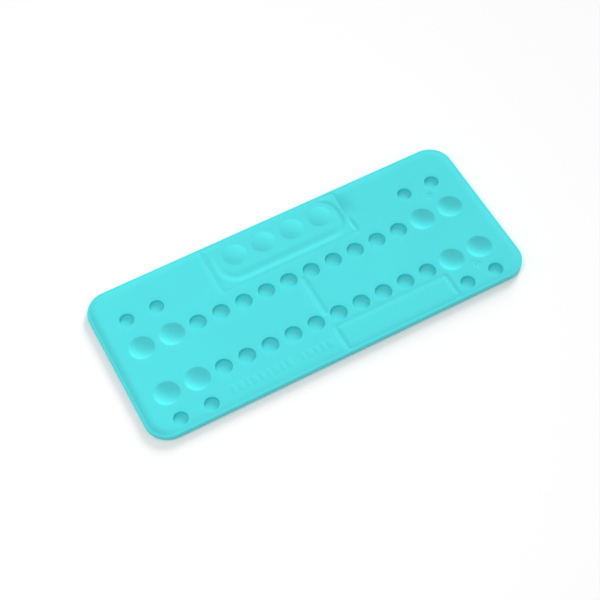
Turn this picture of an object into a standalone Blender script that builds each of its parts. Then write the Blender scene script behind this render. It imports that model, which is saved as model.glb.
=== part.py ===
"""Orthodontic bracket set-up tray with a lift-out domed pad block and a write-on label plate.

Frame: metres, +Z up, origin on the underside below the middle of the tray. X runs along the
tray's length and +Y points to the long edge that carries the pad block.
"""
import math

import bmesh
import bpy
from mathutils import Vector

MM = 0.001

# Tray plate: a flat field inside a border that falls away to a narrow edge strip. Cutters reach
# CUT_OVERRUN above the field.
TRAY_LENGTH = 160.0 * MM
TRAY_WIDTH = 70.0 * MM
CORNER_RADIUS = 9.3 * MM
FIELD_HEIGHT = 2.5 * MM
EDGE_HEIGHT = 2.2 * MM
BOTTOM_BREAK = 0.3 * MM
EDGE_ROUND = 0.4 * MM
EDGE_STRIP = 0.8 * MM
BORDER_RUN = 3.0 * MM
CORNER_STEPS = 10
CUT_OVERRUN = 1.0 * MM

# Well grid: each row is one tooth arch, symmetric about the tray's middle. A well's cutter has
# rings up to WELL_LAST_STEP of the angle to its rim and reaches WELL_OVERRUN above the field.
SMALL_WELL_PITCH = 9.75 * MM
SMALL_WELLS_PER_SIDE = 5
MOLAR_COLUMNS = (54.7 * MM, 67.25 * MM)
TOOTH_ROWS = (4.8 * MM, -17.5 * MM)
ACCESSORY_ROWS = (18.9 * MM, -29.5 * MM)
MOLAR_WELL_RADIUS = 4.8 * MM
MOLAR_WELL_DEPTH = 1.65 * MM
SMALL_WELL_RADIUS = 3.3 * MM
SMALL_WELL_DEPTH = 1.5 * MM
ACCESSORY_WELL_RADIUS = 2.85 * MM
ACCESSORY_WELL_DEPTH = 1.3 * MM
WELL_OVERRUN = 0.35 * MM
WELL_LAST_STEP = 0.92

# Groove that marks the middle between the tooth rows.
GROOVE_WIDTH = 1.0 * MM
GROOVE_DEPTH = 0.3 * MM
CENTRE_LINE_X = 0.5 * MM
CENTRE_LINE_Y = (-17.0 * MM, 5.0 * MM)

# Pockets for the inserts, measured to their walls.
SEAT_GAP = 0.3 * MM
POCKET_DEPTH = 1.2 * MM
POCKET_CORNER = 1.0 * MM
BLOCK_POCKET = (-29.3 * MM, 29.6 * MM, 12.2 * MM, 33.7 * MM)
LABEL_POCKET = (0.7 * MM, 48.9 * MM, -33.4 * MM, -22.5 * MM)

# Finger scoop beside the block, for lifting it out.
SCOOP_CENTRE = (29.6 * MM, 25.4 * MM)
SCOOP_RADIUS = 7.4 * MM
SCOOP_DEPTH = 0.8 * MM

# Pad block: a basin sunk in its top, a pad that stands in the basin and a row of low domes on it.
BASIN = (-28.3 * MM, 28.8 * MM, 13.0 * MM, 33.2 * MM)
BASIN_CORNER = 7.6 * MM
BASIN_DEPTH = 0.5 * MM
BASIN_SLOPE_RUN = 1.2 * MM
PAD = (-26.1 * MM, 28.2 * MM, 15.6 * MM, 32.9 * MM)
PAD_CORNER = 6.5 * MM
PAD_SINK = 0.2 * MM
PAD_SLOPE_RUN = 1.6 * MM
PAD_ROOT = 0.4 * MM
DOME_CENTRE_X = 1.1 * MM
DOME_PITCH = 12.55 * MM
DOME_COUNT = 4
DOME_Y = 26.0 * MM
DOME_RADIUS = 4.8 * MM
DOME_HEIGHT = 0.55 * MM
DOME_TOP_RADIUS = 0.25 * MM
DOME_ROOT = 0.3 * MM

TURQUOISE = (0.085, 0.745, 0.785, 1.0)
TURQUOISE_BLOCK = (0.095, 0.76, 0.80, 1.0)
TURQUOISE_LABEL = (0.09, 0.75, 0.79, 1.0)


def clear_scene():
    for item in list(bpy.data.objects):
        bpy.data.objects.remove(item, do_unlink=True)


def plastic(name, colour, roughness):
    material = bpy.data.materials.new(name)
    material.use_nodes = True
    shader = material.node_tree.nodes["Principled BSDF"]
    shader.inputs["Base Color"].default_value = colour
    shader.inputs["Roughness"].default_value = roughness
    shader.inputs["Metallic"].default_value = 0.0
    return material


def rounded_rectangle(box, radius, steps):
    """Counter-clockwise outline of box = (x low, x high, y low, y high), its corners as arcs."""
    x_low, x_high, y_low, y_high = box
    centres = (
        (x_high - radius, y_low + radius, -90.0),
        (x_high - radius, y_high - radius, 0.0),
        (x_low + radius, y_high - radius, 90.0),
        (x_low + radius, y_low + radius, 180.0),
    )
    outline = []
    for centre_x, centre_y, start in centres:
        for step in range(steps + 1):
            angle = math.radians(start + 90.0 * step / steps)
            outline.append((centre_x + radius * math.cos(angle), centre_y + radius * math.sin(angle)))
    return outline


def inset_box(box, distance):
    x_low, x_high, y_low, y_high = box
    return (x_low + distance, x_high - distance, y_low + distance, y_high - distance)


def add_rings(mesh, rings):
    """Bridge point rings, listed bottom to top, and close both ends."""
    loops = [[mesh.verts.new(point) for point in ring] for ring in rings]
    for lower, upper in zip(loops, loops[1:]):
        count = len(lower)
        for index in range(count):
            following = (index + 1) % count
            mesh.faces.new((lower[index], lower[following], upper[following], upper[index]))
    mesh.faces.new(list(reversed(loops[0])))
    mesh.faces.new(loops[-1])


def make_object(name, mesh, material=None, origin=(0.0, 0.0, 0.0)):
    """Turn a bmesh in tray coordinates into an object whose origin is at the given point."""
    offset = Vector(origin)
    for vertex in mesh.verts:
        vertex.co -= offset
    data = bpy.data.meshes.new(name)
    mesh.to_mesh(data)
    mesh.free()
    item = bpy.data.objects.new(name, data)
    item.location = offset
    bpy.context.scene.collection.objects.link(item)
    if material:
        data.materials.append(material)
    return item


def make_tool(name, mesh):
    """A cutting or joining shape: it is only used by Boolean modifiers."""
    tool = make_object(name, mesh)
    tool.hide_render = True
    tool.display_type = "WIRE"
    return tool


def combine(item, tool, operation):
    modifier = item.modifiers.new(tool.name, "BOOLEAN")
    modifier.operation = operation
    modifier.solver = "EXACT"
    modifier.object = tool


def profiled_plate(box, radius, steps, profile):
    """Solid with a rounded rectangular plan; profile lists (inset, height), bottom to top."""
    mesh = bmesh.new()
    rings = []
    for inset, height in profile:
        outline = rounded_rectangle(inset_box(box, inset), radius - inset, steps)
        rings.append([(x, y, height) for x, y in outline])
    add_rings(mesh, rings)
    return mesh


def add_well_cutter(mesh, centre, radius, depth, surface, segments, steps):
    """Spherical cap below the surface, carried on above it so that the cut is clean."""
    sphere_radius = (radius ** 2 + depth ** 2) / (2.0 * depth)
    rim_angle = math.asin(radius / sphere_radius)
    sphere_height = surface + sphere_radius - depth
    overrun_cosine = math.cos(rim_angle) - WELL_OVERRUN / sphere_radius
    angles = [rim_angle * WELL_LAST_STEP * (step + 1) / steps for step in range(steps)]
    angles.append(math.acos(overrun_cosine))
    loops = []
    for angle in angles:
        ring_radius = sphere_radius * math.sin(angle)
        height = sphere_height - sphere_radius * math.cos(angle)
        loops.append([
            mesh.verts.new((
                centre[0] + ring_radius * math.cos(math.tau * index / segments),
                centre[1] + ring_radius * math.sin(math.tau * index / segments),
                height,
            ))
            for index in range(segments)
        ])
    bottom = mesh.verts.new((centre[0], centre[1], surface - depth))
    for index in range(segments):
        following = (index + 1) % segments
        mesh.faces.new((bottom, loops[0][following], loops[0][index]))
        for lower, upper in zip(loops, loops[1:]):
            mesh.faces.new((lower[index], lower[following], upper[following], upper[index]))
    mesh.faces.new(loops[-1])


def add_prism(mesh, outline, low, high):
    add_rings(mesh, [[(x, y, low) for x, y in outline], [(x, y, high) for x, y in outline]])


def rectangle(x_low, x_high, y_low, y_high):
    return [(x_low, y_low), (x_high, y_low), (x_high, y_high), (x_low, y_high)]


def small_well_columns():
    offsets = [(index + 0.5) * SMALL_WELL_PITCH for index in range(SMALL_WELLS_PER_SIDE)]
    return [-offset for offset in reversed(offsets)] + offsets


def molar_columns():
    return [sign * column for sign in (-1.0, 1.0) for column in MOLAR_COLUMNS]


def tray_well_cutters():
    mesh = bmesh.new()
    for row in TOOTH_ROWS:
        for column in small_well_columns():
            add_well_cutter(mesh, (column, row), SMALL_WELL_RADIUS, SMALL_WELL_DEPTH,
                            FIELD_HEIGHT, segments=16, steps=2)
        for column in molar_columns():
            add_well_cutter(mesh, (column, row), MOLAR_WELL_RADIUS, MOLAR_WELL_DEPTH,
                            FIELD_HEIGHT, segments=20, steps=3)
    for row in ACCESSORY_ROWS:
        for column in molar_columns():
            add_well_cutter(mesh, (column, row), ACCESSORY_WELL_RADIUS, ACCESSORY_WELL_DEPTH,
                            FIELD_HEIGHT, segments=16, steps=2)
    return make_tool("well_cutters", mesh)


def pocket_cutters():
    mesh = bmesh.new()
    floor = FIELD_HEIGHT - POCKET_DEPTH
    for pocket in (BLOCK_POCKET, LABEL_POCKET):
        outline = rounded_rectangle(pocket, POCKET_CORNER, 4)
        add_prism(mesh, outline, floor, FIELD_HEIGHT + CUT_OVERRUN)
    return make_tool("pocket_cutters", mesh)


def centre_line_cutter():
    mesh = bmesh.new()
    outline = rectangle(CENTRE_LINE_X - GROOVE_WIDTH / 2, CENTRE_LINE_X + GROOVE_WIDTH / 2, *CENTRE_LINE_Y)
    add_prism(mesh, outline, FIELD_HEIGHT - GROOVE_DEPTH, FIELD_HEIGHT + CUT_OVERRUN)
    return make_tool("centre_line_cutter", mesh)


def scoop_cutter():
    mesh = bmesh.new()
    add_well_cutter(mesh, SCOOP_CENTRE, SCOOP_RADIUS, SCOOP_DEPTH, FIELD_HEIGHT, segments=32, steps=4)
    return make_tool("scoop_cutter", mesh)


def build_tray_body():
    box = (-TRAY_LENGTH / 2, TRAY_LENGTH / 2, -TRAY_WIDTH / 2, TRAY_WIDTH / 2)
    profile = (
        (BOTTOM_BREAK, 0.0),
        (0.0, BOTTOM_BREAK),
        (0.0, EDGE_HEIGHT - EDGE_ROUND),
        (EDGE_ROUND, EDGE_HEIGHT),
        (EDGE_STRIP, EDGE_HEIGHT),
        (BORDER_RUN, FIELD_HEIGHT),
    )
    mesh = profiled_plate(box, CORNER_RADIUS, CORNER_STEPS, profile)
    body = make_object("tray_body", mesh, plastic("tray_plastic", TURQUOISE, 0.42))
    combine(body, centre_line_cutter(), "DIFFERENCE")
    combine(body, pocket_cutters(), "DIFFERENCE")
    combine(body, scoop_cutter(), "DIFFERENCE")
    combine(body, tray_well_cutters(), "DIFFERENCE")
    return body


def basin_cutter():
    """Basin shape from its floor up; it stands on straight above the field."""
    profile = (
        (BASIN_SLOPE_RUN, FIELD_HEIGHT - BASIN_DEPTH),
        (0.0, FIELD_HEIGHT),
        (0.0, FIELD_HEIGHT + CUT_OVERRUN),
    )
    return make_tool("basin_cutter", profiled_plate(BASIN, BASIN_CORNER, CORNER_STEPS, profile))


def pad():
    profile = (
        (0.0, FIELD_HEIGHT - BASIN_DEPTH - PAD_ROOT),
        (0.0, FIELD_HEIGHT - BASIN_DEPTH),
        (PAD_SLOPE_RUN, FIELD_HEIGHT - PAD_SINK),
    )
    return make_tool("pad", profiled_plate(PAD, PAD_CORNER, CORNER_STEPS, profile))


def domes():
    """Low spherical caps on the pad, each rooted in it."""
    base = FIELD_HEIGHT - PAD_SINK
    sphere_radius = (DOME_RADIUS ** 2 + DOME_HEIGHT ** 2) / (2.0 * DOME_HEIGHT)
    rim_angle = math.asin(DOME_RADIUS / sphere_radius)
    angles = [rim_angle * share for share in (1.0, 0.75, 0.5, 0.25)]
    mesh = bmesh.new()
    for index in range(DOME_COUNT):
        centre_x = DOME_CENTRE_X + (index - (DOME_COUNT - 1) / 2) * DOME_PITCH
        rings = [circle(centre_x, DOME_Y, DOME_RADIUS, base - DOME_ROOT)]
        for angle in angles:
            height = base + DOME_HEIGHT - sphere_radius * (1.0 - math.cos(angle))
            rings.append(circle(centre_x, DOME_Y, sphere_radius * math.sin(angle), height))
        rings.append(circle(centre_x, DOME_Y, DOME_TOP_RADIUS, base + DOME_HEIGHT))
        add_rings(mesh, rings)
    return make_tool("domes", mesh)


def circle(centre_x, centre_y, radius, height, segments=24):
    angles = [math.tau * index / segments for index in range(segments)]
    return [(centre_x + radius * math.cos(a), centre_y + radius * math.sin(a), height) for a in angles]


def build_domed_pad_block():
    """Plate that drops into its pocket, with the basin, the pad and the domes on top."""
    bottom = FIELD_HEIGHT - POCKET_DEPTH + SEAT_GAP
    plate_box = inset_box(BLOCK_POCKET, SEAT_GAP)
    origin = (DOME_CENTRE_X, (plate_box[2] + plate_box[3]) / 2, bottom)
    mesh = bmesh.new()
    add_prism(mesh, rounded_rectangle(plate_box, POCKET_CORNER - SEAT_GAP, 4), bottom, FIELD_HEIGHT)
    block = make_object("domed_pad_block", mesh, plastic("block_plastic", TURQUOISE_BLOCK, 0.38), origin)
    combine(block, basin_cutter(), "DIFFERENCE")
    combine(block, pad(), "UNION")
    combine(block, domes(), "UNION")
    return block


def build_label_plate():
    bottom = FIELD_HEIGHT - POCKET_DEPTH + SEAT_GAP
    mesh = bmesh.new()
    outline = rounded_rectangle(inset_box(LABEL_POCKET, SEAT_GAP), POCKET_CORNER - SEAT_GAP, 4)
    add_prism(mesh, outline, bottom, FIELD_HEIGHT)
    return make_object("label_plate", mesh, plastic("label_plastic", TURQUOISE_LABEL, 0.34))


def main():
    clear_scene()
    build_tray_body()
    build_domed_pad_block()
    build_label_plate()


main()
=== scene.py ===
"""Looks of the orthodontic set-up tray: fine moulded surfaces, plastics, studio light and camera.

Lengths are millimetres in the tray's own frame until a mesh is made; MM turns them into metres.
"""
import math

import bmesh
import bpy
import numpy as np
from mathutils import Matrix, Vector
from mathutils.geometry import delaunay_2d_cdt


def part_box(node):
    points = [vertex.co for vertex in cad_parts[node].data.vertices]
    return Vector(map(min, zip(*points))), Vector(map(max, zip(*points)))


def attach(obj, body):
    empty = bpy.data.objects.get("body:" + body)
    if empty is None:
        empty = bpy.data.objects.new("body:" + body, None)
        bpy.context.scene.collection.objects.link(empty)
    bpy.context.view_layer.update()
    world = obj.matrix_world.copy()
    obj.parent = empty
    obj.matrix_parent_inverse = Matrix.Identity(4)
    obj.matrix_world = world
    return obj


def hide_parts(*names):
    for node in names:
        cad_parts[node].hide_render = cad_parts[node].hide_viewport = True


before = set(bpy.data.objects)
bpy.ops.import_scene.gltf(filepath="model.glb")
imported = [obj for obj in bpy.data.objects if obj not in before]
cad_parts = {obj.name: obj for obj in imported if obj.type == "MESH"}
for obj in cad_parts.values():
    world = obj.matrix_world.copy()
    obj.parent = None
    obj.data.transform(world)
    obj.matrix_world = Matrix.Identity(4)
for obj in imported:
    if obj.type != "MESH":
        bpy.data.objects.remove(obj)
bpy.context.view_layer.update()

MM = 0.001


def node_box(name):
    """(x low, x high, y low, y high, z low, z high) of a CAD node."""
    low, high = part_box(name)
    return tuple(value / MM for pair in zip(low, high) for value in pair)


TRAY_BOX = node_box("tray_body")
BLOCK_BOX = node_box("domed_pad_block")
LABEL_BOX = node_box("label_plate")

# Levels.
FIELD_LEVEL = TRAY_BOX[5]
INSERT_BOTTOM = LABEL_BOX[4]
POCKET_FLOOR = INSERT_BOTTOM - 0.3

# Tray outline and border: the field falls away to a narrow edge strip, further at the ends.
CORNER_RADIUS = 9.3
EDGE_ROUND = 0.22
EDGE_STRIP = 1.1
BORDER_RUN = 4.1
BORDER_DROP_SIDE = 0.24
BORDER_DROP_LEFT = 0.64
BORDER_DROP_RIGHT = 0.25
WALL_MIDDLE = 1.3
BOTTOM_BREAK = 0.3
BOTTOM_BREAK_SHARE = 0.3

# The fine relief fades out over RELIEF_RUN, which starts RELIEF_START inside the outline.
RELIEF_START = 0.5
RELIEF_RUN = 0.8

# Inserts: the pocket wall stands POCKET_GAP outside the CAD insert; the seam that shows is finer.
POCKET_GAP = 0.3
SEAM = 0.012
POCKET_CORNER = 1.0
INSERT_CORNER = POCKET_CORNER - SEAM
INSERT_EDGE = 0.025
INSERT_BOTTOM_BREAK = 0.15

# Soft grooves along the seams, each value for the (left, right, front, back) side.
GROOVE_MARGIN = 2.6
LEAST_RUN = 0.3
BLOCK_GROOVE_OUTSIDE = (2.2, 1.6, 1.6, 0.8)
BLOCK_GROOVE_INSIDE = (2.2, 1.2, 1.2, 0.6)
BLOCK_GROOVE_DEPTH = (0.15, 0.32, 0.03, 0.02)
LABEL_GROOVE_OUTSIDE = (2.2, 1.4, 0.9, 1.6)
LABEL_GROOVE_INSIDE = (1.5, 1.9, 1.0, 2.0)
LABEL_GROOVE_DEPTH = (0.25, 0.24, 0.02, 0.14)
CENTRE_LINE_X = 0.5
CENTRE_LINE_Y = (-17.0, 4.4)
CENTRE_LINE_FADE = 1.8
CENTRE_LINE_FLANKS = (2.2, 1.6)
CENTRE_LINE_DEPTH = 0.22

# Finger scoop beside the block.
SCOOP_RUN = 7.2
SCOOP_HALF_WIDTH = 7.8
SCOOP_Y = 25.4
SCOOP_DEPTH = 1.15
BESIDE_SCOOP_RUN = 3.0

# Wells: (radius, depth, wall) where the wall is the steep part under the lip.
SMALL_WELL = (3.3, 1.28, 1.16)
MOLAR_WELL = (4.92, 1.6, 0.04)
ACCESSORY_WELL = (2.82, 1.25, 1.16)
WELL_LIP = 0.12
WELL_FLOOR_SOFTNESS = 0.12
SMALL_WELL_PITCH = 9.75
SMALL_WELLS_PER_SIDE = 5
MOLAR_COLUMNS = (54.7, 67.25)
TOOTH_ROWS = (4.8, -17.5)
ACCESSORY_ROWS = (18.9, -29.5)

# Domes on the pad: (radius, depth), where the depth is negative because they stand up.
DOME_HEIGHT = 0.55
DOME = (4.8, -DOME_HEIGHT)
DOME_CREASE = 0.03
DOME_PITCH = 12.55
DOME_COUNT = 4
DOME_CENTRE_X = 1.1
DOME_Y = 26.0

# Pad: a moat around it, deepest at the front; each value for the (left, right, front, back) side.
PAD_PLAN = (-25.4, 26.8, 15.6, 32.2)
PAD_CORNER = 6.5
PAD_SINK = FIELD_LEVEL + DOME_HEIGHT - BLOCK_BOX[5]
PAD_BACK_RISE = 0.1
PAD_BACK_RUN = 4.0
MOAT_OUTSIDE = (2.9, 1.9, 2.7, 1.3)
MOAT_INSIDE = (1.4, 2.0, 3.1, 0.9)
MOAT_DEPTH = (0.24, 0.32, 0.52, 0.1)

# Small ring marks that the mould's pins left near the right end: (x, y) of each.
RING_MARKS = ((62.9, 13.5), (62.05, -23.6))
RING_MARK_RADIUS = 0.8
RING_MARK_HALF_WIDTH = 0.35
RING_MARK_DEPTH = 0.1

# Gate mark on the front wall.
GATE_X = (-1.4, 1.1)
GATE_Z = (0.7, 1.6)
GATE_CORNER = 0.35
GATE_OUT = 0.1
GATE_FOOT_SHARE = 0.4
GATE_ROOT = 0.2

# Plain raised bars where the name field is marked.
NAME_BARS = 15
NAME_FIELD_X = (-46.2, -3.0)
NAME_FIELD_Y = (-29.6, -26.4)
NAME_GAP_AT = 9
NAME_BAR_WIDTH = 1.6
NAME_BAR_SWING = 0.6
NAME_BAR_SWING_STEP = 2.4
NAME_BAR_HEIGHT = 0.05
NAME_BAR_CORNER = 0.4
NAME_BAR_FOOT = 0.2
NAME_BAR_SLOPE = 0.5

# Mesh lines of the top surfaces: how many there are, or how far from an edge or middle they lie.
EDGE_ROUND_ANGLES = (0, 18, 36, 54, 72, 90)
BORDER_LINES = 11
POCKET_LINES = (0.0, 0.2, 0.45, 0.7, 0.95, 1.2, 1.5, 1.8, 2.15)
POCKET_BACK_FACTOR = 0.4
CENTRE_LINE_SHARES = ((1.0, 0.8, 0.6, 0.45, 0.3, 0.15), (0.0, 0.2, 0.4, 0.6, 0.8, 1.0))
CENTRE_LINE_FADE_STEPS = 5
CENTRE_LINE_STEPS = 12
NAME_BAR_LINES = (-0.2, -0.08, 0.05, 0.17, 0.3)
RING_MARK_LINES = 3
INSERT_LINES = (0.0, INSERT_EDGE / 2, INSERT_EDGE, 0.25, 0.5, 0.75, 1.0, 1.3, 1.6, 1.9, 2.2)
MOAT_OUTSIDE_LINES = (1.0, 0.85, 0.7, 0.55, 0.4, 0.25, 0.1, 0.0)
MOAT_INSIDE_LINES = (0.12, 0.25, 0.38, 0.5, 0.62, 0.75, 0.88, 1.0)

# Loose mesh points between those lines: their spacing, and how far they keep away from the lines.
FIELD_POINTS_INSET = 4.0
FIELD_POINTS_MARGIN = 0.5
FIELD_POINTS_SPACING = 2.4
SCOOP_POINTS_SPACING = 1.0
SCOOP_POINTS_FROM = 2.3
SCOOP_POINTS_BEYOND = 1.0
SCOOP_POINTS_Y = (16.9, 31.5)
PAD_POINTS_INSET = 3.1
PAD_POINTS_MARGIN = 0.3
PAD_POINTS_SPACING = 1.3
LABEL_POINTS_INSET = 3.0
LABEL_POINTS_SPACING = 2.0
CENTRE_LINE_KEEP_OUT = 0.3
NAME_FIELD_KEEP_OUT = (0.5, 0.5, 0.6, 0.6)
POCKET_KEEP_OUT = 2.8
KEEP_OUT_CORNER = 0.5

# Wells and domes have meshes of their own, which meet the surface at a guard ring around them.
WELL_GUARD = 0.75
WELL_CLEARANCE = 0.06
WELL_TOLERANCE = 0.01
WELL_FLOOR_RINGS = (0.12, 0.24, 0.36, 0.48, 0.6, 0.7, 0.8)
WELL_LIP_RINGS = (-1.5, -1.1, -0.8, -0.5, -0.2, 0.1, 0.4, 0.7, 1.0, 1.5)
LARGE_WELL_RADIUS = 4.0
LARGE_WELL_SEGMENTS = 64
SMALL_WELL_SEGMENTS = 48

LEAST_CORNER = 0.1
OUTLINE_TOLERANCE = 0.08
MERGE_DISTANCE = 1e-5
WELD_METRES = 2e-6
SHARP_ANGLE = math.radians(50.0)

# Plastic: (scale, detail) of the noise behind its cloudiness, its gloss and its grain.
CLOUD_NOISE = (45.0, 4.0)
GLOSS_NOISE = (160.0, 3.0)
GLOSS_SWING = 0.05
GRAIN_NOISE = (1400.0, 2.0)
GRAIN_HEIGHT_METRES = 0.00002

# Stage: places in metres, turns in degrees.
FLOOR_HALF = 3.0
FLOOR_LEVEL = -0.00005
CAMERA_PLACE = (-0.12872, -0.27345, 0.45734)
CAMERA_TURN = (32.918, 2.065, -27.892)
CAMERA_LENS = 85.15


# ---------------------------------------------------------------- plan outlines and profiles

def smoothstep(value):
    """0 up to 0, 1 from 1 on, and a smooth rise between them."""
    value = np.clip(value, 0.0, 1.0)
    return value * value * (3.0 - 2.0 * value)


def rounded_rectangle(box, radius, spacing, corner_steps):
    """Counter-clockwise closed outline with evenly spaced points along its straight sides."""
    x_low, x_high, y_low, y_high = box
    centres = (
        (x_high - radius, y_low + radius, -90.0),
        (x_high - radius, y_high - radius, 0.0),
        (x_low + radius, y_high - radius, 90.0),
        (x_low + radius, y_low + radius, 180.0),
    )
    arcs = []
    for centre_x, centre_y, start in centres:
        arc = []
        for step in range(corner_steps + 1):
            angle = math.radians(start + 90.0 * step / corner_steps)
            arc.append((centre_x + radius * math.cos(angle), centre_y + radius * math.sin(angle)))
        arcs.append(arc)
    outline = []
    for arc, following in zip(arcs, arcs[1:] + arcs[:1]):
        outline.extend(arc)
        outline.extend(between(arc[-1], following[0], spacing))
    return outline


def between(start, end, spacing):
    """Points strictly between two ends, about the given spacing apart."""
    count = max(1, round(math.dist(start, end) / spacing))
    return [
        (start[0] + (end[0] - start[0]) * step / count, start[1] + (end[1] - start[1]) * step / count)
        for step in range(1, count)
    ]


def inset_box(box, distance):
    return (box[0] + distance, box[1] - distance, box[2] + distance, box[3] - distance)


def inset_from(x, y, box, radius):
    """Distance inwards from a rounded rectangle's outline, negative outside it."""
    across = np.abs(x - (box[0] + box[1]) / 2) - ((box[1] - box[0]) / 2 - radius)
    along = np.abs(y - (box[2] + box[3]) / 2) - ((box[3] - box[2]) / 2 - radius)
    outside = np.hypot(np.maximum(across, 0.0), np.maximum(along, 0.0))
    inside = np.minimum(np.maximum(across, along), 0.0)
    return radius - outside - inside


def bump_profile(offset, before, after):
    """Smooth ridge of height 1 at offset 0 that ends at -before and +after."""
    share = np.where(offset < 0.0, -offset / before, offset / after)
    return np.where(share < 1.0, (1.0 - np.clip(share, 0.0, 1.0) ** 2) ** 2, 0.0)


def well_depth(distance, well):
    """Depth below the surface at a distance from the well's middle: a bowl under a rounded lip."""
    radius, depth, wall = well
    bowl = depth - wall
    sphere = (radius ** 2 + bowl ** 2) / (2.0 * bowl)
    inner = np.minimum(distance, radius)
    bowl_depth = bowl - sphere + np.sqrt(sphere ** 2 - inner ** 2)
    edge_slope = radius / math.sqrt(sphere ** 2 - radius ** 2)
    overrun = bowl_depth - edge_slope * np.maximum(distance - radius, 0.0)
    lip_fall = 1.0 - smoothstep((distance - radius + WELL_LIP) / (2.0 * WELL_LIP))
    return smooth_maximum(overrun, 0.0, WELL_FLOOR_SOFTNESS) + wall * lip_fall


def dome_rise(distance, dome):
    """Height above the surface at a distance from a dome's middle: a spherical cap with a soft foot."""
    radius, depth = dome
    height = -depth
    sphere = (radius ** 2 + height ** 2) / (2.0 * height)
    cap = np.sqrt(sphere ** 2 - distance ** 2) - sphere + height
    return smooth_maximum(cap, 0.0, DOME_CREASE)


def well_or_dome(distance, shape):
    """Depth of a well, or minus the height of a dome."""
    return well_depth(distance, shape) if shape[1] > 0.0 else -dome_rise(distance, shape)


def smooth_maximum(a, b, softness):
    """The larger of two values, with a rounded change from one to the other."""
    return 0.5 * (a + b + np.sqrt((a - b) ** 2 + softness ** 2))


# ---------------------------------------------------------------- layout

def small_columns():
    offsets = [(index + 0.5) * SMALL_WELL_PITCH for index in range(SMALL_WELLS_PER_SIDE)]
    return [-offset for offset in reversed(offsets)] + offsets


def molar_columns():
    return [sign * column for sign in (-1.0, 1.0) for column in MOLAR_COLUMNS]


def tray_wells():
    """(x, y, well) of every well in the tray."""
    wells = [(x, y, SMALL_WELL) for y in TOOTH_ROWS for x in small_columns()]
    wells += [(x, y, MOLAR_WELL) for y in TOOTH_ROWS for x in molar_columns()]
    wells += [(x, y, ACCESSORY_WELL) for y in ACCESSORY_ROWS for x in molar_columns()]
    return wells


def pad_domes():
    middle = (DOME_COUNT - 1) / 2
    offsets = [(index - middle) * DOME_PITCH for index in range(DOME_COUNT)]
    return [(DOME_CENTRE_X + offset, DOME_Y, DOME) for offset in offsets]


TRAY_PLAN = TRAY_BOX[:4]
BLOCK_POCKET = inset_box(BLOCK_BOX[:4], -POCKET_GAP)
LABEL_POCKET = inset_box(LABEL_BOX[:4], -POCKET_GAP)
BLOCK_PLAN = inset_box(BLOCK_POCKET, SEAM)
LABEL_PLAN = inset_box(LABEL_POCKET, SEAM)
SCOOP_POINTS_BOX = (
    BLOCK_POCKET[1] + SCOOP_POINTS_FROM,
    BLOCK_POCKET[1] + SCOOP_RUN + SCOOP_POINTS_BEYOND,
    *SCOOP_POINTS_Y,
)


# ---------------------------------------------------------------- surface heights

def border_drop(x, y):
    """How far the border lies below the field, with the rounded outer edge."""
    inset = np.maximum(inset_from(x, y, TRAY_PLAN, CORNER_RADIUS), 0.0)
    end_share = smoothstep((np.abs(x) - (TRAY_PLAN[1] - CORNER_RADIUS)) / CORNER_RADIUS)
    end_drop = np.where(x < 0.0, BORDER_DROP_LEFT, BORDER_DROP_RIGHT)
    drop = BORDER_DROP_SIDE + (end_drop - BORDER_DROP_SIDE) * end_share
    rise = np.clip((inset - EDGE_STRIP) / (BORDER_RUN - EDGE_STRIP), 0.0, 1.0)
    round_off = EDGE_ROUND - np.minimum(inset, EDGE_ROUND)
    return drop * (1.0 - rise) ** 2 + EDGE_ROUND - np.sqrt(EDGE_ROUND ** 2 - round_off ** 2)


def side_shares(x, y, box, margin):
    """How far a point near a box's outline belongs to its left, right, front and back side."""
    reaches = (box[0] + margin - x, x - box[1] + margin, box[2] + margin - y, y - box[3] + margin)
    reaches = [np.maximum(reach, 0.0) for reach in reaches]
    total = np.maximum(sum(reaches), 1e-6)
    return [reach / total for reach in reaches]


def by_side(shares, values):
    """Blend of the four sides' values."""
    return sum(share * value for share, value in zip(shares, values))


def seam_groove(x, y, pocket, outside, inside, depths):
    """Depth of the soft groove that is deepest on a pocket's outline."""
    inset = inset_from(x, y, pocket, POCKET_CORNER)
    shares = side_shares(x, y, pocket, GROOVE_MARGIN)
    run = np.where(inset < 0.0, by_side(shares, outside), by_side(shares, inside))
    share = np.clip(np.abs(inset) / np.maximum(run, LEAST_RUN), 0.0, 1.0)
    return by_side(shares, depths) * (1.0 - share ** 2) ** 2


def block_groove(x, y):
    shape = (BLOCK_GROOVE_OUTSIDE, BLOCK_GROOVE_INSIDE, BLOCK_GROOVE_DEPTH)
    return seam_groove(x, y, BLOCK_POCKET, *shape)


def label_groove(x, y):
    shape = (LABEL_GROOVE_OUTSIDE, LABEL_GROOVE_INSIDE, LABEL_GROOVE_DEPTH)
    return seam_groove(x, y, LABEL_POCKET, *shape)


def scoop_share(y):
    """1 level with the middle of the finger scoop, 0 beyond its ends."""
    across = np.clip(np.abs(y - SCOOP_Y) / SCOOP_HALF_WIDTH, 0.0, 1.0)
    return (1.0 - across ** 2) ** 2


def finger_scoop(x, y):
    along = np.clip((x - BLOCK_POCKET[1]) / SCOOP_RUN, 0.0, 1.0)
    depth = SCOOP_DEPTH * (1.0 - along) ** 2 * scoop_share(y)
    return np.where(x < BLOCK_POCKET[1] - SEAM, 0.0, depth)


def centre_line(x, y):
    middle = (CENTRE_LINE_Y[0] + CENTRE_LINE_Y[1]) / 2
    half = (CENTRE_LINE_Y[1] - CENTRE_LINE_Y[0]) / 2
    ends = smoothstep((half - np.abs(y - middle)) / CENTRE_LINE_FADE)
    return CENTRE_LINE_DEPTH * ends * bump_profile(x - CENTRE_LINE_X, *CENTRE_LINE_FLANKS)


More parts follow.
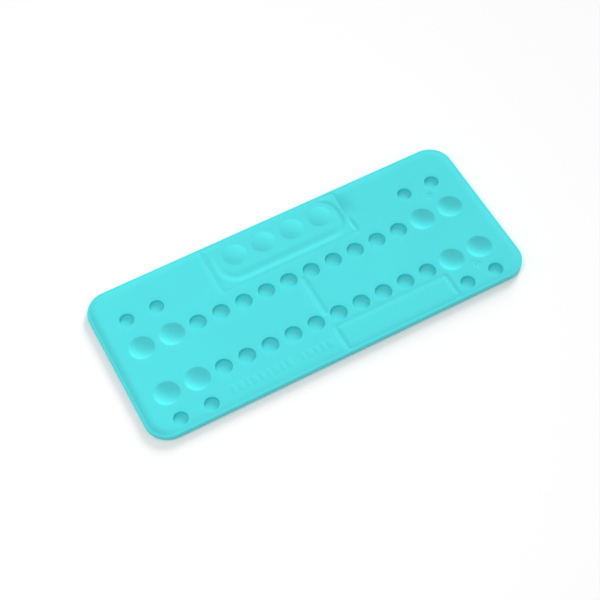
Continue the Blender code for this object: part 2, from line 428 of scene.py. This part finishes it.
def name_bar_boxes():
    """Bars of uneven width along the name field, with one wider gap."""
    pitch = (NAME_FIELD_X[1] - NAME_FIELD_X[0]) / NAME_BARS
    boxes = []
    for index in range(NAME_BARS):
        if index != NAME_GAP_AT:
            centre = NAME_FIELD_X[0] + pitch * (index + 0.5)
            swing = math.sin(NAME_BAR_SWING_STEP * index)
            half = (NAME_BAR_WIDTH + NAME_BAR_SWING * swing) / 2
            boxes.append((centre - half, centre + half, *NAME_FIELD_Y))
    return boxes


def name_bars(x, y):
    height = np.zeros_like(x)
    for box in name_bar_boxes():
        inset = inset_from(x, y, box, NAME_BAR_CORNER)
        rise = smoothstep((inset + NAME_BAR_FOOT) / NAME_BAR_SLOPE)
        height = np.maximum(height, NAME_BAR_HEIGHT * rise)
    return height


def ring_marks(x, y):
    depth = np.zeros_like(x)
    for mark_x, mark_y in RING_MARKS:
        offset = np.hypot(x - mark_x, y - mark_y) - RING_MARK_RADIUS
        depth += RING_MARK_DEPTH * bump_profile(offset, RING_MARK_HALF_WIDTH, RING_MARK_HALF_WIDTH)
    return depth


def tray_height(x, y):
    """Top of the tray without its wells."""
    sunk = np.maximum(block_groove(x, y), finger_scoop(x, y)) + ring_marks(x, y)
    sunk = np.maximum(sunk, np.maximum(label_groove(x, y), centre_line(x, y)))
    inset = inset_from(x, y, TRAY_PLAN, CORNER_RADIUS)
    fade = smoothstep((inset - RELIEF_START) / RELIEF_RUN)
    return FIELD_LEVEL - border_drop(x, y) - sunk * fade + name_bars(x, y)


def moat(x, y):
    """Depth of the pad and of the moat around it below the block's plate."""
    back_share = smoothstep((y - PAD_PLAN[3] + PAD_BACK_RUN) / PAD_BACK_RUN)
    sink = PAD_SINK - PAD_BACK_RISE * back_share
    inset = inset_from(x, y, PAD_PLAN, PAD_CORNER)
    shares = side_shares(x, y, PAD_PLAN, PAD_CORNER)
    depth = by_side(shares, MOAT_DEPTH)
    fall = smoothstep(1.0 + inset / np.maximum(by_side(shares, MOAT_OUTSIDE), LEAST_RUN))
    rise = smoothstep(inset / np.maximum(by_side(shares, MOAT_INSIDE), LEAST_RUN))
    return depth * fall + (sink - depth) * rise


def insert_edge(inset):
    """Drop of the small rounded edge around an insert."""
    edge = INSERT_EDGE - np.minimum(np.maximum(inset, 0.0), INSERT_EDGE)
    return INSERT_EDGE - np.sqrt(INSERT_EDGE ** 2 - edge ** 2)


def block_height(x, y):
    """Top of the pad block without its domes."""
    edge = insert_edge(inset_from(x, y, BLOCK_PLAN, INSERT_CORNER))
    along_scoop = smoothstep((y - SCOOP_Y + SCOOP_HALF_WIDTH) / BESIDE_SCOOP_RUN)
    groove = block_groove(x, y) * (1.0 - np.where(x > PAD_PLAN[1], along_scoop, 0.0))
    return FIELD_LEVEL - border_drop(x, y) - groove - moat(x, y) - edge


def label_height(x, y):
    """Top of the label plate."""
    edge = insert_edge(inset_from(x, y, LABEL_PLAN, INSERT_CORNER))
    return FIELD_LEVEL - border_drop(x, y) - label_groove(x, y) - edge


# ---------------------------------------------------------------- meshes

class Plan:
    """Lines and points of a top surface seen from above, before the surface gets its height."""

    def __init__(self):
        self.points = []
        self.edges = []

    def line(self, points, closed=False):
        start = len(self.points)
        self.points.extend(points)
        count = len(points)
        self.edges.extend((start + index, start + index + 1) for index in range(count - 1))
        if closed:
            self.edges.append((start + count - 1, start))

    def scatter(self, points):
        self.points.extend(points)


def ring(centre, radius, segments):
    """Points of a circle, counter-clockwise."""
    angles = [math.tau * index / segments for index in range(segments)]
    return [(centre[0] + radius * math.cos(a), centre[1] + radius * math.sin(a)) for a in angles]


def well_segments(well):
    return LARGE_WELL_SEGMENTS if well[0] > LARGE_WELL_RADIUS else SMALL_WELL_SEGMENTS


def well_radii(well):
    """Ring radii of a well, close together across the lip."""
    radius = well[0]
    floor = [radius * share for share in WELL_FLOOR_RINGS]
    lip = [radius + WELL_LIP * offset for offset in WELL_LIP_RINGS]
    return floor + lip + [radius + WELL_GUARD]


def in_metres(mesh, points, levels):
    """New vertices at plan points in millimetres."""
    return [mesh.verts.new((x * MM, y * MM, z * MM)) for (x, y), z in zip(points, levels)]


def add_well(mesh, well, height):
    """Rings of a well from its middle out to the guard ring that the plan holds."""
    x, y, shape = well
    segments = well_segments(shape)
    middle_level = height(np.array([x]), np.array([y])) - shape[1]
    middle = in_metres(mesh, [(x, y)], middle_level)[0]
    inner = None
    for radius in well_radii(shape):
        points = np.array(ring((x, y), radius, segments))
        surface = height(points[:, 0], points[:, 1])
        if radius < shape[0] + WELL_GUARD:
            surface = surface - well_or_dome(np.full(segments, radius), shape)
        loop = in_metres(mesh, points, surface)
        for index in range(segments):
            following = (index + 1) % segments
            if inner is None:
                mesh.faces.new((middle, loop[index], loop[following]))
            else:
                mesh.faces.new((inner[index], loop[index], loop[following], inner[following]))
        inner = loop


def near_wells(starts, ends, wells):
    """Which segments come close to a well's guard ring or lie inside it."""
    near = np.zeros(len(starts), dtype=bool)
    run = ends - starts
    length = np.maximum((run ** 2).sum(axis=1), 1e-12)
    for x, y, shape in wells:
        offset = np.array((x, y)) - starts
        share = np.clip((offset * run).sum(axis=1) / length, 0.0, 1.0)[:, None]
        near |= np.hypot(*(offset - run * share).T) < shape[0] + WELL_GUARD + WELL_CLEARANCE
    return near


def clear_wells(plan, wells):
    """The plan without the points and lines that the wells' guard rings would cut."""
    points = np.array(plan.points)
    edges = np.array(plan.edges)
    keep_points = ~near_wells(points, points, wells)
    keep_edges = ~near_wells(points[edges[:, 0]], points[edges[:, 1]], wells)
    numbers = np.cumsum(keep_points) - 1
    cleared = Plan()
    cleared.points = [tuple(point) for point in points[keep_points]]
    cleared.edges = [(int(a), int(b)) for a, b in numbers[edges[keep_edges]]]
    return cleared


def inside_any(x, y, wells, holes):
    """Whether a point lies within a well's guard ring or a hole."""
    for well_x, well_y, shape in wells:
        if math.hypot(x - well_x, y - well_y) < shape[0] + WELL_GUARD - WELL_TOLERANCE:
            return True
    return any(float(inset_from(x, y, box, POCKET_CORNER)) > 0.0 for box in holes)


def top_surface(plan, height, wells, holes=()):
    """Triangulate the plan, lift it to its height, leave the holes open and set the wells in."""
    plan = clear_wells(plan, wells)
    for x, y, shape in wells:
        plan.line(ring((x, y), shape[0] + WELL_GUARD, well_segments(shape)), closed=True)
    corners = [Vector(point) for point in plan.points]
    flat, _, triangles, *_ = delaunay_2d_cdt(corners, plan.edges, [], 0, MERGE_DISTANCE)
    points = np.array([(point.x, point.y) for point in flat])
    mesh = bmesh.new()
    verts = in_metres(mesh, points, height(points[:, 0], points[:, 1]))
    for triangle in triangles:
        centre = points[list(triangle)].mean(axis=0)
        if not inside_any(centre[0], centre[1], wells, holes):
            mesh.faces.new([verts[index] for index in triangle])
    for well in wells:
        add_well(mesh, well, height)
    bmesh.ops.remove_doubles(mesh, verts=mesh.verts[:], dist=WELD_METRES)
    loose = [vert for vert in mesh.verts if not vert.link_faces]
    bmesh.ops.delete(mesh, geom=loose, context="VERTS")
    return mesh


def outward(point, box, radius):
    """Unit direction out of a rounded rectangle at a point on its outline."""
    step = 0.01
    x, y = point
    slope_x = inset_from(x + step, y, box, radius) - inset_from(x - step, y, box, radius)
    slope_y = inset_from(x, y + step, box, radius) - inset_from(x, y - step, box, radius)
    direction = Vector((-float(slope_x), -float(slope_y)))
    return direction.normalized()


def drop_edge(mesh, edges, box, radius, profile):
    """Carry boundary edges down through (outward shift, height) steps; returns the last edges."""
    for shift, level in profile:
        extruded = bmesh.ops.extrude_edge_only(mesh, edges=edges)
        verts = [item for item in extruded["geom"] if isinstance(item, bmesh.types.BMVert)]
        edges = [item for item in extruded["geom"] if isinstance(item, bmesh.types.BMEdge)]
        for vert in verts:
            point = (vert.co.x / MM, vert.co.y / MM)
            direction = outward(point, box, radius)
            vert.co.x += direction.x * shift * MM
            vert.co.y += direction.y * shift * MM
            vert.co.z = level * MM
    return edges


def boundary_near(mesh, box, radius):
    """Open edges that lie on a rounded rectangle's outline."""
    found = []
    for edge in mesh.edges:
        if edge.is_boundary:
            middle = (edge.verts[0].co + edge.verts[1].co) / (2 * MM)
            if abs(float(inset_from(middle.x, middle.y, box, radius))) < OUTLINE_TOLERANCE:
                found.append(edge)
    return found


def close_below(mesh, box, radius, profile):
    """Carry the open edges on an outline down through a profile and close them with one face."""
    edges = drop_edge(mesh, boundary_near(mesh, box, radius), box, radius, profile)
    bmesh.ops.holes_fill(mesh, edges=edges, sides=0)


def finish_piece(name, mesh, material, body, node):
    """Make the object, shade it smooth between sharp edges and tie it to its CAD body."""
    bmesh.ops.recalc_face_normals(mesh, faces=mesh.faces[:])
    data = bpy.data.meshes.new(name)
    mesh.to_mesh(data)
    mesh.free()
    data.shade_smooth()
    data.set_sharp_from_angle(angle=SHARP_ANGLE)
    data.materials.append(material)
    piece = bpy.data.objects.new(name, data)
    bpy.context.scene.collection.objects.link(piece)
    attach(piece, body)
    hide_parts(node)


# ---------------------------------------------------------------- pieces

def cell_middles(low, high, spacing):
    count = max(1, round((high - low) / spacing))
    return [low + (high - low) * (index + 0.5) / count for index in range(count)]


def grid(box, spacing):
    """Points in even columns and rows, about the given spacing apart."""
    columns = cell_middles(box[0], box[1], spacing)
    rows = cell_middles(box[2], box[3], spacing)
    return [(x, y) for x in columns for y in rows]


def clear_of(points, wells, boxes, margin):
    """The points that lie outside all wells and boxes by a margin."""
    points = np.array(points)
    x, y = points.T
    keep = np.ones(len(points), dtype=bool)
    for well_x, well_y, shape in wells:
        keep &= np.hypot(x - well_x, y - well_y) >= shape[0] + WELL_GUARD + margin
    for box in boxes:
        keep &= inset_from(x, y, box, KEEP_OUT_CORNER) <= -margin
    return [tuple(point) for point in points[keep]]


def grown(box, distance, sides=(1.0, 1.0, 1.0, 1.0)):
    """Box with its (left, right, front, back) side moved out by a distance times its own factor."""
    return (
        box[0] - distance * sides[0],
        box[1] + distance * sides[1],
        box[2] - distance * sides[2],
        box[3] + distance * sides[3],
    )


def clipped_loop(loop, limit):
    """A closed loop's points with |y| under the limit, in order, and whether it is still closed."""
    within = [abs(point[1]) < limit for point in loop]
    if all(within):
        return loop, True
    start = within.index(False)
    turned = loop[start:] + loop[:start]
    return [point for point in turned if abs(point[1]) < limit], False


def add_border_lines(plan):
    insets = [EDGE_ROUND * (1.0 - math.cos(math.radians(angle))) for angle in EDGE_ROUND_ANGLES]
    insets.append((EDGE_ROUND + EDGE_STRIP) / 2)
    slope = BORDER_RUN - EDGE_STRIP
    insets += [EDGE_STRIP + slope * step / BORDER_LINES for step in range(BORDER_LINES + 1)]
    for inset in insets:
        box = inset_box(TRAY_PLAN, inset)
        loop = rounded_rectangle(box, CORNER_RADIUS - inset, spacing=2.0, corner_steps=20)
        plan.line(loop, closed=True)


def add_pocket_lines(plan):
    for pocket in (BLOCK_POCKET, LABEL_POCKET):
        for outside in POCKET_LINES:
            box = grown(pocket, outside, (1.0, 1.0, 1.0, POCKET_BACK_FACTOR))
            corner = POCKET_CORNER + outside * POCKET_BACK_FACTOR
            loop = rounded_rectangle(box, corner, spacing=1.6, corner_steps=6)
            plan.line(*clipped_loop(loop, TRAY_PLAN[3] - EDGE_STRIP))


def add_centre_lines(plan):
    left, right = CENTRE_LINE_FLANKS
    offsets = [-left * share for share in CENTRE_LINE_SHARES[0]]
    offsets += [right * share for share in CENTRE_LINE_SHARES[1]]
    low, high = CENTRE_LINE_Y
    fade_steps = range(CENTRE_LINE_FADE_STEPS + 1)
    fades = [CENTRE_LINE_FADE * step / CENTRE_LINE_FADE_STEPS for step in fade_steps]
    stretch = high - low - 2.0 * CENTRE_LINE_FADE
    stations = [low + fade for fade in fades]
    for step in range(1, CENTRE_LINE_STEPS):
        stations.append(low + CENTRE_LINE_FADE + stretch * step / CENTRE_LINE_STEPS)
    stations += [high - fade for fade in reversed(fades)]
    for offset in offsets:
        plan.line([(CENTRE_LINE_X + offset, y) for y in stations])


def add_name_bar_lines(plan):
    for box in name_bar_boxes():
        for inset in NAME_BAR_LINES:
            corner = NAME_BAR_CORNER - inset
            loop = rounded_rectangle(inset_box(box, inset), corner, spacing=1.0, corner_steps=3)
            plan.line(loop, closed=True)


def add_ring_mark_lines(plan):
    for mark in RING_MARKS:
        for step in range(-RING_MARK_LINES, RING_MARK_LINES + 1):
            radius = RING_MARK_RADIUS + RING_MARK_HALF_WIDTH * step / RING_MARK_LINES
            plan.line(ring(mark, radius, segments=20), closed=True)


def add_field_points(plan):
    """Loose points over the field, close together in the finger scoop."""
    left, right = CENTRE_LINE_FLANKS
    centre_line_box = (CENTRE_LINE_X - left, CENTRE_LINE_X + right, *CENTRE_LINE_Y)
    keep_out = [
        grown(BLOCK_POCKET, POCKET_KEEP_OUT),
        grown(LABEL_POCKET, POCKET_KEEP_OUT),
        SCOOP_POINTS_BOX,
        grown(centre_line_box, CENTRE_LINE_KEEP_OUT),
        grown((*NAME_FIELD_X, *NAME_FIELD_Y), 1.0, NAME_FIELD_KEEP_OUT),
    ]
    points = grid(inset_box(TRAY_PLAN, FIELD_POINTS_INSET), FIELD_POINTS_SPACING)
    plan.scatter(clear_of(points, tray_wells(), keep_out, FIELD_POINTS_MARGIN))
    plan.scatter(grid(SCOOP_POINTS_BOX, SCOOP_POINTS_SPACING))


def tray_plan():
    plan = Plan()
    add_border_lines(plan)
    add_pocket_lines(plan)
    add_centre_lines(plan)
    add_name_bar_lines(plan)
    add_ring_mark_lines(plan)
    add_field_points(plan)
    return plan


def add_gate_mark(mesh):
    """Low bevelled stub on the front wall where the plastic was fed into the mould."""
    rings = []
    for inset, out in ((0.0, -GATE_ROOT), (0.0, GATE_OUT * GATE_FOOT_SHARE), (GATE_OUT, GATE_OUT)):
        box = inset_box((*GATE_X, *GATE_Z), inset)
        outline = rounded_rectangle(box, GATE_CORNER - inset, spacing=1.0, corner_steps=4)
        y = (TRAY_PLAN[2] - out) * MM
        rings.append([mesh.verts.new((x * MM, y, z * MM)) for x, z in outline])
    for lower, upper in zip(rings, rings[1:]):
        for index, vert in enumerate(lower):
            following = (index + 1) % len(lower)
            mesh.faces.new((vert, lower[following], upper[following], upper[index]))
    mesh.faces.new(rings[0])
    mesh.faces.new(rings[-1])


def build_tray():
    pockets = (BLOCK_POCKET, LABEL_POCKET)
    mesh = top_surface(tray_plan(), tray_height, tray_wells(), pockets)
    wall = [
        (0.0, WALL_MIDDLE),
        (0.0, BOTTOM_BREAK),
        (-BOTTOM_BREAK * BOTTOM_BREAK_SHARE, BOTTOM_BREAK * BOTTOM_BREAK_SHARE),
        (-BOTTOM_BREAK * (1.0 - BOTTOM_BREAK_SHARE), 0.0),
    ]
    close_below(mesh, TRAY_PLAN, CORNER_RADIUS, wall)
    for pocket in pockets:
        close_below(mesh, pocket, POCKET_CORNER, [(0.0, POCKET_FLOOR)])
    add_gate_mark(mesh)
    finish_piece("tray_moulding", mesh, tray_plastic(), "tray", "tray_body")


def add_insert_lines(plan, outline, spacing, corner_steps):
    for inset in INSERT_LINES:
        radius = max(INSERT_CORNER - inset, LEAST_CORNER)
        loop = rounded_rectangle(inset_box(outline, inset), radius, spacing, corner_steps)
        plan.line(loop, closed=True)


def add_pad_lines(plan):
    """Lines down into the moat and up onto the pad."""
    steps = [(share, MOAT_OUTSIDE) for share in MOAT_OUTSIDE_LINES]
    steps += [(-share, MOAT_INSIDE) for share in MOAT_INSIDE_LINES]
    for share, runs in steps:
        box = grown(PAD_PLAN, share, runs)
        loop = rounded_rectangle(box, PAD_CORNER + share, spacing=1.4, corner_steps=18)
        plan.line(loop, closed=True)


def insert_solid(plan, height, outline, wells=()):
    mesh = top_surface(plan, height, wells)
    wall = [(0.0, INSERT_BOTTOM + INSERT_BOTTOM_BREAK), (-INSERT_BOTTOM_BREAK, INSERT_BOTTOM)]
    close_below(mesh, outline, INSERT_CORNER, wall)
    return mesh


def build_block():
    plan = Plan()
    add_insert_lines(plan, BLOCK_PLAN, spacing=1.6, corner_steps=6)
    add_pad_lines(plan)
    domes = pad_domes()
    pad_points = [
        point for point in grid(PAD_PLAN, PAD_POINTS_SPACING)
        if float(inset_from(*point, PAD_PLAN, PAD_CORNER)) > PAD_POINTS_INSET
    ]
    plan.scatter(clear_of(pad_points, domes, [], PAD_POINTS_MARGIN))
    mesh = insert_solid(plan, block_height, BLOCK_PLAN, domes)
    finish_piece(
        "pad_block_moulding", mesh, block_plastic(), "pad_block", "domed_pad_block"
    )


def build_label():
    plan = Plan()
    add_insert_lines(plan, LABEL_PLAN, spacing=1.5, corner_steps=5)
    plan.scatter(grid(inset_box(LABEL_PLAN, LABEL_POINTS_INSET), LABEL_POINTS_SPACING))
    mesh = insert_solid(plan, label_height, LABEL_PLAN)
    finish_piece("label_plate_face", mesh, label_plastic(), "tray", "label_plate")


# ---------------------------------------------------------------- materials

def noise(material, scale, detail):
    """Noise texture that is fixed to the piece; returns its value output."""
    nodes, links = material.node_tree.nodes, material.node_tree.links
    place = nodes.new("ShaderNodeTexCoord")
    texture = nodes.new("ShaderNodeTexNoise")
    texture.inputs["Scale"].default_value = scale
    texture.inputs["Detail"].default_value = detail
    links.new(place.outputs["Object"], texture.inputs["Vector"])
    return texture.outputs["Fac"]


def plastic(name, base, mottle, roughness, grain):
    """Satin moulded plastic: faint cloudiness, uneven gloss and a fine spark-eroded grain."""
    material = bpy.data.materials.new(name)
    material.use_nodes = True
    nodes, links = material.node_tree.nodes, material.node_tree.links
    shader = nodes["Principled BSDF"]
    shader.inputs["IOR"].default_value = 1.5

    tint = nodes.new("ShaderNodeValToRGB")
    for stop, place, factor in zip(tint.color_ramp.elements, (0.3, 0.7), (1.0 - mottle, 1.0 + mottle)):
        stop.position = place
        stop.color = (*[channel * factor for channel in base], 1.0)
    links.new(noise(material, *CLOUD_NOISE), tint.inputs["Fac"])
    links.new(tint.outputs["Color"], shader.inputs["Base Color"])

    gloss = nodes.new("ShaderNodeMapRange")
    gloss.inputs["To Min"].default_value = roughness - GLOSS_SWING
    gloss.inputs["To Max"].default_value = roughness + GLOSS_SWING
    links.new(noise(material, *GLOSS_NOISE), gloss.inputs["Value"])
    links.new(gloss.outputs["Result"], shader.inputs["Roughness"])

    relief = nodes.new("ShaderNodeBump")
    relief.inputs["Strength"].default_value = grain
    relief.inputs["Distance"].default_value = GRAIN_HEIGHT_METRES
    links.new(noise(material, *GRAIN_NOISE), relief.inputs["Height"])
    links.new(relief.outputs["Normal"], shader.inputs["Normal"])
    return material


def tray_plastic():
    return plastic("tray_turquoise", (0.065, 0.68, 0.715), 0.012, 0.42, 0.25)


def block_plastic():
    return plastic("block_turquoise", (0.066, 0.685, 0.72), 0.012, 0.4, 0.2)


def label_plastic():
    return plastic("label_turquoise", (0.065, 0.68, 0.715), 0.01, 0.4, 0.15)


def floor_material():
    material = bpy.data.materials.new("studio_floor")
    material.use_nodes = True
    shader = material.node_tree.nodes["Principled BSDF"]
    shader.inputs["Base Color"].default_value = (0.945, 0.945, 0.945, 1.0)
    shader.inputs["Roughness"].default_value = 0.9
    return material


# ---------------------------------------------------------------- stage

def build_floor():
    half = FLOOR_HALF
    mesh = bmesh.new()
    corners = [(-half, -half), (half, -half), (half, half), (-half, half)]
    mesh.faces.new([mesh.verts.new((x, y, FLOOR_LEVEL)) for x, y in corners])
    data = bpy.data.meshes.new("studio_floor")
    mesh.to_mesh(data)
    mesh.free()
    data.materials.append(floor_material())
    floor = bpy.data.objects.new("studio_floor", data)
    bpy.context.scene.collection.objects.link(floor)


def area_light(name, azimuth, elevation, distance, size, power):
    """Soft round light aimed at the tray; azimuth is counter-clockwise from +X."""
    data = bpy.data.lights.new(name, "AREA")
    data.shape = "DISK"
    data.size = size
    data.energy = power
    light = bpy.data.objects.new(name, data)
    turn, lift = math.radians(azimuth), math.radians(elevation)
    reach = math.cos(lift)
    offset = Vector((math.cos(turn) * reach, math.sin(turn) * reach, math.sin(lift)))
    light.location = offset * distance
    light.visible_glossy = False
    light.rotation_euler = offset.to_track_quat("Z", "Y").to_euler()
    bpy.context.scene.collection.objects.link(light)


def light_studio():
    area_light("key_back_right", azimuth=40.0, elevation=18.0, distance=9.0, size=4.6, power=880.0)
    area_light("fill_left", azimuth=180.0, elevation=62.0, distance=0.36, size=0.2, power=0.24)
    world = bpy.data.worlds.new("studio")
    world.use_nodes = True
    background = world.node_tree.nodes["Background"]
    background.inputs["Color"].default_value = (1.0, 1.0, 1.0, 1.0)
    background.inputs["Strength"].default_value = 0.632
    bpy.context.scene.world = world
    bpy.context.scene.view_settings.view_transform = "Standard"


def place_camera():
    """Camera in front of the tray and a little to its left, looking down at it."""
    data = bpy.data.cameras.new("camera")
    data.lens = CAMERA_LENS
    data.sensor_width = 36.0
    data.clip_start = 0.05
    camera = bpy.data.objects.new("camera", data)
    camera.location = CAMERA_PLACE
    camera.rotation_euler = [math.radians(angle) for angle in CAMERA_TURN]
    bpy.context.scene.collection.objects.link(camera)
    bpy.context.scene.camera = camera


place_camera()
build_floor()
light_studio()
build_tray()
build_block()
build_label()
